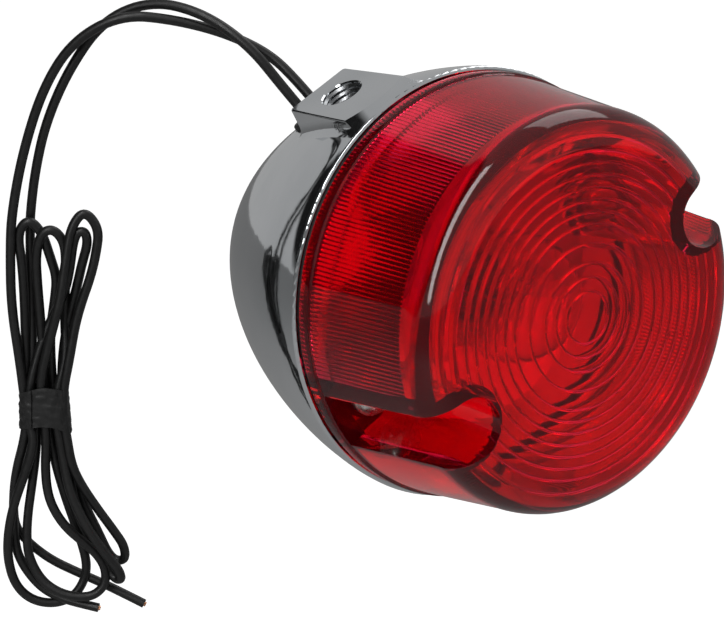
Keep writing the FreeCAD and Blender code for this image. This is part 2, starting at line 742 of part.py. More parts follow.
# Each route runs from the grommet up over the arch and down to the top of the hank, as
# (across, towards, up) in the hank's own directions, after the point at the grommet's mouth.
LEAD_A_ROUTE = (
    (54.0, 8.4, 69.4),
    (48.5, 6.8, 74.6),
    (40.0, 6.2, 78.6),
    (30.0, 6.4, 81.2),
    (19.5, 7.2, 82.3),
    (9.6, 5.6, 77.0),
    (3.0, 3.6, 67.6),
    (-1.9, 2.0, 54.5),
    (-5.0, 1.0, 41.5),
)
LEAD_B_ROUTE = (
    (51.6, 10.6, 68.0),
    (44.6, 10.6, 76.8),
    (35.2, 7.6, 82.8),
    (25.0, 4.2, 84.8),
    (15.2, 3.0, 80.8),
    (8.0, 2.4, 71.0),
    (2.8, 0.8, 60.4),
    (0.0, -0.6, 50.6),
    (-1.6, -1.5, 41.5),
)
LEAD_A_TAIL = ((3.5, 0.2, -43.6), (10.0, 1.0, -45.0))
LEAD_B_TAIL = ((8.4, -3.2, -40.2), (19.4, -2.0, -45.2))

# Outline of the hank: (up, left edge, right edge, half depth)
HANK_UPPER_OUTLINE = (
    (0.0, -WAIST_HALF_WIDTH, WAIST_HALF_WIDTH, WAIST_HALF_DEPTH),
    (TAPE_TOP, -WAIST_HALF_WIDTH, WAIST_HALF_WIDTH, WAIST_HALF_DEPTH),
    (13.0, -6.6, 7.2, 3.2),
    (25.0, -7.2, 11.4, 3.4),
    (35.0, -6.8, 13.4, 3.2),
    (41.5, -6.2, 12.2, 2.8),
)
HANK_LOWER_OUTLINE = (
    (0.0, -WAIST_HALF_WIDTH, WAIST_HALF_WIDTH, WAIST_HALF_DEPTH),
    (TAPE_BOTTOM, -WAIST_HALF_WIDTH, WAIST_HALF_WIDTH, WAIST_HALF_DEPTH),
    (-12.0, -6.8, 6.6, 3.0),
    (-22.0, -9.2, 10.6, 3.6),
    (-32.0, -10.2, 16.0, 4.0),
    (-38.5, -9.4, 15.6, 3.8),
    (-45.3, -3.4, 9.4, 2.4),
)


def outside_route(route, side):
    seat, way_out = grommet_seat()
    mouth = seat + way_out * GROMMET_PROUD + Vector(side * LEAD_SPACING / 2, 0, 0)
    return [point_in_part_frame(mouth)] + [hank_point(*point) for point in route]


def stadium(up, left, right, half_depth):
    """Flat-sided loop with round ends, level, at one height of the hank."""
    corners = [
        hank_point(left + half_depth, half_depth, up),
        hank_point(right - half_depth, half_depth, up),
        hank_point(right - half_depth, -half_depth, up),
        hank_point(left + half_depth, -half_depth, up),
    ]
    right_end = Part.Arc(corners[1], hank_point(right, 0, up), corners[2]).toShape()
    left_end = Part.Arc(corners[3], hank_point(left, 0, up), corners[0]).toShape()
    return Part.Wire(
        [Part.makeLine(corners[0], corners[1]), right_end, Part.makeLine(corners[2], corners[3]), left_end]
    )


def hank_half(outline):
    return Part.makeLoft([stadium(*row) for row in outline], True, True)


def hank_tape():
    """Turns of tape round the hank's waist."""
    height = TAPE_TOP - TAPE_BOTTOM
    bands = []
    for grow in (TAPE_THICKNESS, 0.0):
        half_width = WAIST_HALF_WIDTH + grow
        loop = stadium(TAPE_BOTTOM, -half_width, half_width, WAIST_HALF_DEPTH + grow)
        bands.append(Part.Face(loop).extrude(Vector(0, 0, height)))
    return bands[0].cut(bands[1])


# --- Writing the pieces ---------------------------------------------------------------------
def main():
    os.makedirs("parts", exist_ok=True)
    upright = {
        "housing": housing(),
        "wire_grommet": wire_grommet(),
        "lens": lens(),
        "lens_gasket": lens_gasket(),
        "lens_washer_upper": lens_washer(1),
        "lens_washer_lower": lens_washer(-1),
        "lens_screw_upper": lens_screw(1),
        "lens_screw_lower": lens_screw(-1),
        "reflector": reflector(),
        "socket_shell": socket_shell(),
        "contact_disc": contact_disc(),
        "contact_studs": contact_studs(),
        "contact_spring": contact_spring(),
        "bulb_glass": bulb_glass(),
        "bulb_base": bulb_base(),
        "bulb_insulator": bulb_insulator(),
        "bulb_contacts": bulb_contacts(),
        "bulb_pins": bulb_pins(),
        "bulb_stem": bulb_stem(),
        "bulb_supports": bulb_supports(),
        "bulb_filaments": bulb_filaments(),
        "lead_a_inside": lead_tube(inside_lead(1), "lead_a_inside"),
        "lead_b_inside": lead_tube(inside_lead(-1), "lead_b_inside"),
    }
    for node, shape in upright.items():
        save(to_part_frame(shape), node)
    save(lead_tube(outside_route(LEAD_A_ROUTE, 1), "lead_a"), "lead_a")
    save(lead_tube(outside_route(LEAD_B_ROUTE, -1), "lead_b"), "lead_b")
    for node, tail in (("lead_a_tail", LEAD_A_TAIL), ("lead_b_tail", LEAD_B_TAIL)):
        save(rod_between(hank_point(*tail[0]), hank_point(*tail[1]), LEAD_DIAMETER / 2), node)
    save(hank_half(HANK_UPPER_OUTLINE), "hank_upper")
    save(hank_half(HANK_LOWER_OUTLINE), "hank_lower")
    save(hank_tape(), "hank_tape")


main()
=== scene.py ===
import math

import bmesh
import bpy
from mathutils import Matrix, Vector, noise


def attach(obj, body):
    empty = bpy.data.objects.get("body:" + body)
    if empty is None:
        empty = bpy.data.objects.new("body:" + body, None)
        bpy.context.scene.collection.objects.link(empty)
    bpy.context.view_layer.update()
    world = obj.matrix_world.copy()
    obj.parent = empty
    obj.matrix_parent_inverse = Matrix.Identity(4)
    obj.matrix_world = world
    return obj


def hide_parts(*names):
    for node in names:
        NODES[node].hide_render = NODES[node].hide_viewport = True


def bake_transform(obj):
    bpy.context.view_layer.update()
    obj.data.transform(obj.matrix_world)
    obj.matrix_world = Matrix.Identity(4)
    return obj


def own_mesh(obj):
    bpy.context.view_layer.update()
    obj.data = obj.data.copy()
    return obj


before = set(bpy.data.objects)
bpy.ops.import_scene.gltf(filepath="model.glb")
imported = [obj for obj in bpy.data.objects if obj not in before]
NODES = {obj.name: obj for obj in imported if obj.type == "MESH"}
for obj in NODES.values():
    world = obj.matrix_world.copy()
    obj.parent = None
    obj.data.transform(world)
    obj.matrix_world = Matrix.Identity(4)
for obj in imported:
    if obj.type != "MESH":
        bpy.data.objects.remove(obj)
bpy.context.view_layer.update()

# Round bullet tail light, hung by the stem hole in its boss, with its two leads folded into a hank.
# Shapes of the light are given in mm in its upright frame, as in the CAD: the lens axis is Y, the
# lens looks along -Y and the boss stands up along Z. LIGHT puts them in the part's frame, in metres.

MM = 0.001
BOSS_LEAN = math.radians(30.0)
STEM_MOUTH = Vector((0.0, 14.2, 43.2))
LIGHT = (
    Matrix.Rotation(-BOSS_LEAN, 4, "Y")
    @ Matrix.Scale(MM, 4)
    @ Matrix.Translation(-STEM_MOUTH)
)

# Lens (mm)
LENS_RADIUS = 41.5
LENS_WALL_RADIUS = 41.0
LENS_CORNER_RADIUS = 37.9
LENS_CORNER_Y = -26.4
LENS_FACE_Y = -33.7
LENS_FACE_RADIUS = 30.3
LENS_THICKNESS = 3.0
LENS_BACK_Y = -0.8
FLANGE_Y = -3.4
FLANGE_ROUND = 0.4
FLANGE_FILLET = 0.2
CORNER_BULGE = 0.72
FLUTE_COUNT = 288
FLUTE_DEPTH = 0.3
FLUTE_FRONT_Y = LENS_CORNER_Y + 2.2
FLUTE_FRONT_RUN = 0.3
FLUTE_BACK_Y = LENS_BACK_Y - 0.1
FLUTE_BACK_RUN = 0.2
RING_RADII = (5.2, 7.8, 10.4, 14.0, 17.5)
RING_PITCH = 2.2
RING_OUTER_RADIUS = 33.0
RING_STEP = 0.8
RING_RISE = 0.22
RING_WIDTH = 0.6
RING_ROOT = 0.02
SCREW_X = 31.75
RECESS_RADIUS = 6.0
RECESS_WALL = 1.8
RECESS_FLOOR_Y = -3.8
RECESS_REACH = 14.0
SCREW_CLEARANCE = 2.4
# The solids that are cut away run on past the lens by this much, so that each cut goes right through.
CUT_PAST = 1.0

# Stem hole's thread and contact spring (mm)
STEM_RADIUS = 3.97
THREAD_PITCH = 25.4 / 24
THREAD_HEIGHT = 0.4
THREAD_LENGTH = 9.0
THREAD_ROOT = 0.05
# Both in pitches: half the ridge's width at its root, and how far down the bore it starts.
THREAD_HALF_WIDTH = 0.47
THREAD_START = 0.8
SPRING_RADIUS = 6.4
SPRING_WIRE_RADIUS = 0.35
SPRING_TURNS = 4
SPRING_FRONT_Y = 32.3
SPRING_REAR_Y = 39.4

# Leads and their hank (metres)
LEAD_DIAMETER = 0.002
STRAND_RADIUS = 0.00017
STRAND_SPACING = 2.05 * STRAND_RADIUS
STRAND_PROUD = 0.0004
HANK_CENTRE = Vector((-0.037, 0.056, -0.069))
HANK_TURN = math.radians(36.0)

# Ends of the leads' runs inside the shell (mm)
CONTACT_X = 3.2
STUD_END_Y = 36.0
GROMMET_BORE_X = 1.6
GROMMET_MOUTH_Y = 29.12
GROMMET_MOUTH_Z = 38.74

# Tape round the hank's waist (mm)
TAPE_HALF_WIDTH = 5.2
TAPE_HALF_DEPTH = 3.0
TAPE_THICKNESS = 0.25
TAPE_PROUD = 0.35
TAPE_SQUARENESS = 0.72
TAPE_TAPER = 0.05
TAPE_RIPPLE = 0.22
TAPE_CREASE = 0.1
TAPE_TOP = 4.0
TAPE_BOTTOM = -4.3
TAPE_END_ANGLE = math.radians(128.0)
TAPE_FIRST_TURN = -0.06
TAPE_TURNS = 1.1


# --- Camera ---------------------------------------------------------------------------------
CAMERA_PLACE = Vector((-0.19082, -0.27097, 0.03823))
CAMERA_AZIMUTH = math.radians(-35.84)
CAMERA_ELEVATION = math.radians(13.58)
CAMERA_ROLL = math.radians(0.16)
CAMERA_FOCAL_LENGTH = 87.41


def make_camera():
    data = bpy.data.cameras.new("camera")
    data.lens = CAMERA_FOCAL_LENGTH
    data.sensor_width = 36.0
    data.clip_start = 0.01
    data.clip_end = 50.0
    camera = bpy.data.objects.new("camera", data)
    bpy.context.scene.collection.objects.link(camera)
    camera.matrix_world = (
        Matrix.Translation(CAMERA_PLACE)
        @ Matrix.Rotation(CAMERA_AZIMUTH, 4, "Z")
        @ Matrix.Rotation(math.pi / 2 - CAMERA_ELEVATION, 4, "X")
        @ Matrix.Rotation(CAMERA_ROLL, 4, "Z")
    )
    bpy.context.scene.camera = camera


make_camera()


# --- Leads: one curve each, from the grommet over the arch and through the whole hank ---------
def hank(across, towards, up):
    """A point in the hank's own directions, in mm from the middle of its tape."""
    across_way = Vector((math.cos(HANK_TURN), -math.sin(HANK_TURN), 0.0))
    towards_way = Vector((-math.sin(HANK_TURN), -math.cos(HANK_TURN), 0.0))
    return HANK_CENTRE + (across_way * across + towards_way * towards + Vector((0, 0, up))) * MM


LEAD_A_ROUTE = (
    (54.0, 8.4, 69.4), (48.5, 6.8, 74.6), (40.0, 6.2, 78.6), (30.0, 6.4, 81.2), (19.5, 7.2, 82.3),
    (9.6, 5.6, 77.0), (3.0, 3.6, 67.6), (-1.9, 2.0, 54.5), (-5.0, 1.0, 41.5),
)
LEAD_B_ROUTE = (
    (51.6, 10.6, 68.0), (44.6, 10.6, 76.8), (35.2, 7.6, 82.8), (25.0, 4.2, 84.8), (15.2, 3.0, 80.8),
    (8.0, 2.4, 71.0), (2.8, 0.8, 60.4), (0.0, -0.6, 50.6), (-1.6, -1.5, 41.5),
)

# The folds of the hank, one run after another. Each passes through the tape between two of them.
LEAD_A_FOLDS = (
    # down into the tape from the arch
    (-5.6, 1.2, 33.4), (-5.9, 1.2, 22.0), (-4.6, 1.2, 10.0), (-4.0, 1.1, 2.0),
    # long left loop below
    (-3.2, 1.4, -3.0), (-2.1, 2.0, -7.2), (-4.4, 2.0, -14.1), (-7.0, 2.0, -20.8), (-8.5, 2.0, -26.9),
    (-9.1, 1.5, -33.2), (-8.0, 1.0, -39.4), (-5.0, 0.5, -43.2), (-0.5, 0.0, -44.6), (3.6, -1.0, -43.8),
    (5.8, -2.0, -41.6), (7.2, -2.5, -38.0), (7.0, -2.0, -33.6), (5.1, -2.0, -27.0),
    (3.3, -1.5, -20.6), (1.3, -1.0, -11.9), (0.2, -1.1, -2.0),
    # second loop above
    (0.0, -1.0, 8.0), (-0.1, 0.0, 17.7), (-0.5, 0.0, 26.7), (-0.5, 0.5, 32.7), (0.8, 1.0, 37.4),
    (3.4, 1.0, 38.4), (5.6, 0.4, 35.4), (5.4, -0.6, 29.4), (4.6, -1.2, 18.6), (5.0, 0.0, 10.6),
    (2.6, 1.0, 3.0),
    # narrow right loop below, in front
    (2.4, 1.1, -2.0), (3.0, 1.0, -6.8), (3.8, 1.0, -12.4), (4.7, 1.5, -17.8), (6.5, 2.0, -22.5),
    (9.0, 2.5, -27.3), (12.1, 2.5, -32.0), (14.9, 2.2, -35.8), (15.3, 1.2, -38.6), (13.0, 0.0, -38.4),
    (10.3, -0.5, -32.5), (6.6, -1.0, -26.6), (5.1, -1.0, -20.9), (3.9, -1.0, -9.7), (4.0, -1.1, -2.0),
    # tall loop above
    (3.4, -1.1, 4.0), (4.1, -1.5, 13.2), (6.1, -1.0, 20.9), (7.7, -1.0, 26.5), (8.9, -0.5, 31.1),
    (10.3, 0.3, 35.2), (9.9, 0.7, 37.9), (7.6, 0.7, 37.4), (6.2, 0.5, 28.3), (4.5, 0.0, 23.3),
    (1.9, -1.0, 18.8), (-0.7, 0.0, 12.5), (-2.7, 1.0, 5.2), (-3.4, 0.8, 0.0),
    # free end below
    (-4.4, 1.0, -6.9), (-6.5, 0.5, -13.7), (-7.6, 0.0, -20.6), (-7.9, -0.5, -31.0),
    (-6.2, -0.5, -36.1), (-2.5, -0.5, -41.1), (1.8, 0.0, -43.2), (5.8, 0.5, -44.2), (10.0, 1.0, -45.0),
)
LEAD_B_FOLDS = (
    # down into the tape from the arch
    (-2.1, -2.5, 36.4), (-2.3, -2.0, 22.8), (-2.4, -1.4, 10.0), (-2.2, -1.1, 2.0),
    # middle loop below
    (-2.0, -1.1, -4.0), (-2.4, -0.8, -10.4), (-3.6, 0.0, -18.3), (-4.5, 0.5, -23.8),
    (-4.9, 1.0, -29.3), (-4.5, 1.0, -33.8), (-2.0, 1.5, -38.6), (1.8, 2.0, -41.2), (5.9, 2.0, -42.2),
    (9.2, 1.5, -42.0), (11.6, 1.0, -39.7), (11.8, 0.5, -36.3), (10.3, 1.0, -32.9), (7.5, 1.5, -29.9),
    (4.1, 2.0, -26.6), (1.6, 2.0, -22.8), (0.1, 1.5, -18.9), (-0.3, 1.0, -13.5), (0.2, 1.0, -6.8),
    (0.0, 1.1, 0.0),
    # tallest loop above
    (-0.4, 2.0, 6.2), (1.6, 2.0, 13.7), (3.4, 2.5, 19.8), (4.7, 2.5, 24.3), (6.1, 2.0, 33.0),
    (7.2, 1.5, 38.9), (9.9, 1.0, 42.3), (12.8, 0.5, 38.3), (11.9, 0.5, 32.8), (10.6, 0.5, 28.0),
    (8.7, 0.5, 23.0), (7.1, 0.5, 17.9), (5.7, 1.0, 10.5), (4.2, 1.1, 4.0),
    # narrow right loop below, behind
    (4.0, 1.1, -2.0), (4.6, 1.0, -6.8), (5.3, 1.0, -12.4), (6.8, 0.0, -16.9), (9.9, -1.0, -22.7),
    (13.5, -1.5, -28.3), (15.6, -2.0, -32.0), (15.6, -2.5, -35.6), (12.4, -3.0, -35.4),
    (9.6, -3.0, -28.5), (7.0, -3.0, -22.8), (5.8, -2.0, -16.7), (3.2, -1.2, -7.5), (2.0, -1.1, 0.0),
    # first loop above
    (1.4, -1.4, 8.0), (1.4, -2.0, 16.3), (2.6, -2.0, 22.8), (3.3, -1.5, 27.6), (2.2, -1.0, 32.0),
    (0.9, 0.0, 37.4), (-1.7, 0.5, 40.4), (-4.3, 0.0, 37.2), (-3.3, 0.0, 29.6), (-3.6, -0.8, 11.4),
    (-4.0, -1.1, 2.0),
    # free end below
    (-4.2, -1.1, -4.0), (-5.0, -1.0, -8.5), (-7.0, -1.5, -15.5), (-8.1, -2.0, -22.5),
    (-8.0, -2.5, -27.9), (-5.1, -2.5, -31.6), (-0.6, -3.0, -35.6), (5.1, -3.5, -38.7),
    (11.8, -3.0, -41.6), (19.5, -2.0, -45.3),
)


def grommet_mouth(side):
    """Where a lead leaves the grommet: the two bores are side by side across the lens axis."""
    return LIGHT @ Vector((side * GROMMET_BORE_X, GROMMET_MOUTH_Y, GROMMET_MOUTH_Z))


def spline_mesh(name, points, bevel):
    """The mesh of a smooth curve with these control points: a tube, or a bare line if bevel is 0."""
    data = bpy.data.curves.new(name, "CURVE")
    data.dimensions = "3D"
    data.bevel_depth = bevel
    data.bevel_resolution = 5
    data.resolution_u = 8
    data.use_fill_caps = True
    spline = data.splines.new("NURBS")
    spline.points.add(len(points) - 1)
    for target, point in zip(spline.points, points):
        target.co = (*point, 1.0)
    spline.order_u = 3
    spline.use_endpoint_u = True
    curve = bpy.data.objects.new(name, data)
    bpy.context.scene.collection.objects.link(curve)
    bpy.context.view_layer.update()
    evaluated = curve.evaluated_get(bpy.context.evaluated_depsgraph_get())
    mesh = bpy.data.meshes.new_from_object(evaluated)
    bpy.data.objects.remove(curve)
    return mesh


def linked(name, mesh):
    made = bpy.data.objects.new(name, mesh)
    bpy.context.scene.collection.objects.link(made)
    return made


def mesh_object(name, bm):
    mesh = bpy.data.meshes.new(name)
    bm.to_mesh(mesh)
    bm.free()
    return linked(name, mesh)


def wire_strands(name, path):
    """The copper strands that show at a lead's cut end."""
    end = path[-1]
    along = (path[-1] - path[-3]).normalized()
    turn = along.to_track_quat("Z", "Y").to_matrix().to_4x4()
    offsets = [Vector((0.0, 0.0, 0.0))]
    offsets += [Vector((math.cos(k * math.pi / 3), math.sin(k * math.pi / 3), 0.0)) for k in range(6)]
    bm = bmesh.new()
    for offset in offsets:
        where = Matrix.Translation(end) @ turn @ Matrix.Translation(offset * STRAND_SPACING)
        bmesh.ops.create_cone(
            bm, cap_ends=True, segments=10, radius1=STRAND_RADIUS, radius2=STRAND_RADIUS * 0.9,
            depth=2 * STRAND_PROUD, matrix=where,
        )
    strands = mesh_object(name, bm)
    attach(strands, "housing")
    return strands


def make_lead(name, exit_point, route, folds, replaced):
    """One lead as a tube along its route, and the strands at its cut end."""
    points = [exit_point] + [hank(*point) for point in route + folds]
    lead = linked(name, spline_mesh(name, points, LEAD_DIAMETER / 2))
    lead.data.shade_smooth()
    line = spline_mesh(name + "_line", points, 0.0)
    path = [vertex.co.copy() for vertex in line.vertices]
    strands = wire_strands(name + "_strands", path)
    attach(lead, "housing")
    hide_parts(*replaced)
    return lead, strands


lead_a, strands_a = make_lead(
    "lead_a_sheath", grommet_mouth(1), LEAD_A_ROUTE, LEAD_A_FOLDS,
    ("lead_a", "lead_a_tail", "hank_upper"),
)
lead_b, strands_b = make_lead(
    "lead_b_sheath", grommet_mouth(-1), LEAD_B_ROUTE, LEAD_B_FOLDS,
    ("lead_b", "lead_b_tail", "hank_lower"),
)


# --- Mesh helpers ----------------------------------------------------------------------------
def ring_of_points(bm, radius, y, count, flute=0.0):
    """Points round the lens axis; flute moves every fourth out and the one midway between in."""
    if radius < 1e-6:
        return [bm.verts.new((0.0, y, 0.0))]
    points = []
    for i in range(count):
        angle = 2 * math.pi * i / count
        r = radius + flute * math.cos(math.pi / 2 * i)
        points.append(bm.verts.new((r * math.cos(angle), y, r * math.sin(angle))))
    return points


def join_rings(bm, low, high):
    """Faces between two rings, one of which may be a single point or have fewer points."""
    if len(low) > len(high):
        low, high = high, low
    ratio = len(high) // len(low)
    for i in range(len(low)):
        fine = [high[(i * ratio + k) % len(high)] for k in range(ratio + 1)]
        if len(low) == 1:
            for a, b in zip(fine, fine[1:]):
                bm.faces.new((low[0], a, b))
        else:
            bm.faces.new([low[i], low[(i + 1) % len(low)]] + fine[::-1])


def lathe(name, rows):
    """A closed solid turned about Y from rows of (radius, y, points round, flute depth)."""
    bm = bmesh.new()
    rings = [ring_of_points(bm, *row) for row in rows]
    for low, high in zip(rings, rings[1:]):
        join_rings(bm, low, high)
    bmesh.ops.recalc_face_normals(bm, faces=bm.faces)
    return mesh_object(name, bm)


def cut(target, tool):
    """Cuts tool from target, and removes tool."""
    modifier = target.modifiers.new("cut", "BOOLEAN")
    modifier.operation = "DIFFERENCE"
    modifier.object = tool
    modifier.solver = "EXACT"
    bpy.context.view_layer.update()
    evaluated = target.evaluated_get(bpy.context.evaluated_depsgraph_get())
    mesh = bpy.data.meshes.new_from_object(evaluated)
    target.modifiers.clear()
    target.data = mesh
    bpy.data.objects.remove(tool)


def prism(name, outline, y_low, y_high):
    """A closed solid with this outline of (x, z) points, from y_low to y_high."""
    bm = bmesh.new()
    low = [bm.verts.new((x, y_low, z)) for x, z in outline]
    high = [bm.verts.new((x, y_high, z)) for x, z in outline]
    join_rings(bm, low, high)
    bm.faces.new(low)
    bm.faces.new(high)
    bmesh.ops.recalc_face_normals(bm, faces=bm.faces)
    return mesh_object(name, bm)


def smooth(piece, angle_deg):
    """Smooth shading, but for edges sharper than this."""
    piece.data.shade_smooth()
    piece.data.set_sharp_from_angle(angle=math.radians(angle_deg))


def place(piece, body, slot, *replaced):
    """Puts a piece made in the light's upright frame where the CAD has it, on its body."""
    piece.data.transform(LIGHT)
    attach(piece, body)
    if replaced:
        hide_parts(*replaced)


# --- Lens ------------------------------------------------------------------------------------
def lens_ring_radii():
    """The rings' radii: the first few apart, then evenly spaced out to the edge of the face."""
    radii = list(RING_RADII)
    while radii[-1] + RING_PITCH < RING_OUTER_RADIUS:
        radii.append(radii[-1] + RING_PITCH)
    return radii


def arc_through(start, middle, end, steps):
    """Points on the circular arc from start to end by way of middle."""
    a, b, c = Vector(start), Vector(middle), Vector(end)
    ab, ac = b - a, c - a
    cross = 2 * (ab.x * ac.y - ab.y * ac.x)
    centre = a + Vector((
        (ac.y * ab.length_squared - ab.y * ac.length_squared) / cross,
        (ab.x * ac.length_squared - ac.x * ab.length_squared) / cross,
    ))
    first = math.atan2(a.y - centre.y, a.x - centre.x)
    last = math.atan2(c.y - centre.y, c.x - centre.x)
    turn = (last - first + math.pi) % (2 * math.pi) - math.pi
    radius = (a - centre).length
    angles = [first + turn * i / steps for i in range(steps + 1)]
    return [(centre.x + radius * math.cos(t), centre.y + radius * math.sin(t)) for t in angles]


def lens_outside():
    """The smooth outer shape of the lens, as a solid."""
    corner = arc_through(
        (LENS_CORNER_RADIUS, LENS_CORNER_Y),
        (LENS_FACE_RADIUS + (LENS_CORNER_RADIUS - LENS_FACE_RADIUS) * CORNER_BULGE,
         LENS_CORNER_Y + (LENS_FACE_Y - LENS_CORNER_Y) * CORNER_BULGE),
        (LENS_FACE_RADIUS, LENS_FACE_Y),
        steps=14,
    )
    profile = [
        (0.0, LENS_BACK_Y),
        (LENS_RADIUS, LENS_BACK_Y),
        (LENS_RADIUS, FLANGE_Y + FLANGE_ROUND),
        (LENS_RADIUS - 0.3 * FLANGE_ROUND, FLANGE_Y + 0.3 * FLANGE_ROUND),
        (LENS_RADIUS - FLANGE_ROUND, FLANGE_Y),
        (LENS_WALL_RADIUS + FLANGE_FILLET, FLANGE_Y),
        (LENS_WALL_RADIUS, FLANGE_Y - FLANGE_FILLET),
    ]
    profile += corner
    profile.append((0.0, LENS_FACE_Y))
    return lathe("lens_moulding", [(r, y, FLUTE_COUNT, 0.0) for r, y in profile])


def lens_hollow():
    """The inside of the lens, as a solid: rings on the face and flutes along the wall."""
    inner_face = LENS_FACE_Y + LENS_THICKNESS
    corner_radius = LENS_CORNER_RADIUS - LENS_THICKNESS
    back_radius = LENS_WALL_RADIUS - LENS_THICKNESS
    profile = [(0.0, inner_face)]
    before = 0.0
    for radius in lens_ring_radii():
        for share in (0.35, 0.65):
            across = before + (radius - before) * share
            profile.append((across, inner_face + RING_RISE * share ** 2))
        profile.append((radius - RING_WIDTH, inner_face + RING_RISE))
        profile.append((radius - 0.55 * RING_WIDTH, inner_face + RING_STEP))
        profile.append((radius - 0.3 * RING_WIDTH, inner_face + RING_STEP))
        profile.append((radius, inner_face + RING_ROOT))
        before = radius
    profile.append((corner_radius, inner_face + RING_RISE))
    profile.append((corner_radius, LENS_CORNER_Y))
    rows = [(r, y, FLUTE_COUNT, 0.0) for r, y in profile]
    wall_slope = (back_radius - corner_radius) / (LENS_BACK_Y - LENS_CORNER_Y)
    for y, flute in (
        (FLUTE_FRONT_Y, 0.0),
        (FLUTE_FRONT_Y + FLUTE_FRONT_RUN, FLUTE_DEPTH),
        (FLUTE_BACK_Y - FLUTE_BACK_RUN, FLUTE_DEPTH),
        (FLUTE_BACK_Y, 0.0),
    ):
        radius = corner_radius + wall_slope * (y - LENS_CORNER_Y)
        rows.append((radius, y, 4 * FLUTE_COUNT, flute))
    rows.append((back_radius, CUT_PAST, FLUTE_COUNT, 0.0))
    rows.append((0.0, CUT_PAST, 1, 0.0))
    return lathe("lens_hollow", rows)


def recess(side, grow, y_low, y_high):
    """A screw recess as a solid: half round towards the axis, straight out past the lens."""
    radius = RECESS_RADIUS + grow
    steps = 28
    outline = []
    for i in range(steps + 1):
        angle = math.pi / 2 + math.pi * i / steps
        outline.append((SCREW_X + radius * math.cos(angle), radius * math.sin(angle)))
    outline += [(SCREW_X + RECESS_REACH, -radius), (SCREW_X + RECESS_REACH, radius)]
    return prism("recess", [(side * x, z) for x, z in outline], y_low, y_high)


def screw_hole(side):
    """The hole in a recess's floor that the screw goes through."""
    steps = 48
    angles = [2 * math.pi * i / steps for i in range(steps)]
    outline = [
        (side * SCREW_X + SCREW_CLEARANCE * math.cos(t), SCREW_CLEARANCE * math.sin(t)) for t in angles
    ]
    return prism("screw_hole", outline, RECESS_FLOOR_Y - CUT_PAST, 2 * CUT_PAST)


def is_inside_face(centre):
    """Whether a point of the lens's surface is on the ringed inside of its face."""
    near = RECESS_RADIUS + 0.1
    from_screw = Vector((abs(centre.x) - SCREW_X, centre.z)).length
    past_screw = abs(centre.x) > SCREW_X and abs(centre.z) < near
    if from_screw < near or past_screw:
        return False
    return LENS_FACE_Y + LENS_THICKNESS / 2 < centre.y < LENS_CORNER_Y - 0.5


def make_lens():
    """The lens: its outside less its hollow, which leaves a wall round each screw recess."""
    hollow = lens_hollow()
    for side in (1, -1):
        cut(hollow, recess(side, RECESS_WALL, LENS_FACE_Y - CUT_PAST, 2 * CUT_PAST))
    lens = lens_outside()
    cut(lens, hollow)
    for side in (1, -1):
        cut(lens, recess(side, 0.0, LENS_FACE_Y - CUT_PAST, RECESS_FLOOR_Y))
        cut(lens, screw_hole(side))
    smooth(lens, 28.0)
    for face in lens.data.polygons:
        face.material_index = 1 if is_inside_face(face.center) else 0
    place(lens, "lens", "red_lens", "lens")
    return lens


lens = make_lens()


# --- Small parts: thread, contact spring, inside leads and tape ------------------------------
def ridge(name, rows):
    """A closed bar through rows of three points each."""
    bm = bmesh.new()
    made = [[bm.verts.new(point) for point in row] for row in rows]
    for low, high in zip(made, made[1:]):
        join_rings(bm, low, high)
    bm.faces.new(made[0])
    bm.faces.new(made[-1][::-1])
    bmesh.ops.recalc_face_normals(bm, faces=bm.faces)
    return mesh_object(name, bm)


def make_thread():
    """The stem hole's thread: one ridge that winds down the bore."""
    steps = 48
    section = ((THREAD_ROOT, -THREAD_HALF_WIDTH), (-THREAD_HEIGHT, 0.0), (THREAD_ROOT, THREAD_HALF_WIDTH))
    rows = []
    for i in range(int(THREAD_LENGTH / THREAD_PITCH) * steps):
        angle = 2 * math.pi * i / steps
        depth = THREAD_PITCH * (THREAD_START + i / steps)
        rows.append([
            (
                (STEM_RADIUS + out) * math.cos(angle),
                STEM_MOUTH.y + (STEM_RADIUS + out) * math.sin(angle),
                STEM_MOUTH.z - depth + rise * THREAD_PITCH,
            )
            for out, rise in section
        ])
    thread = ridge("stem_thread", rows)
    smooth(thread, 40.0)
    place(thread, "housing", "chrome")
    return thread


def make_spring():
    """The contact spring as a round wire, at one fixed length; the real spring shortens when the bulb is
    pushed in.
    """
    steps, around = 32, 12
    front = SPRING_FRONT_Y + SPRING_WIRE_RADIUS
    length = SPRING_REAR_Y - SPRING_WIRE_RADIUS - front
    rows = []
    for i in range(SPRING_TURNS * steps + 1):
        angle = 2 * math.pi * i / steps
        y = front + length * i / (SPRING_TURNS * steps)
        row = []
        for k in range(around):
            turn = 2 * math.pi * k / around
            radius = SPRING_RADIUS + SPRING_WIRE_RADIUS * math.cos(turn)
            lift = SPRING_WIRE_RADIUS * math.sin(turn)
            row.append((radius * math.cos(angle), y + lift, radius * math.sin(angle)))
        rows.append(row)
    spring = ridge("spring_wire", rows)
    smooth(spring, 60.0)
    place(spring, "housing", "spring_steel", "contact_spring")
    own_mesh(spring)
    return spring


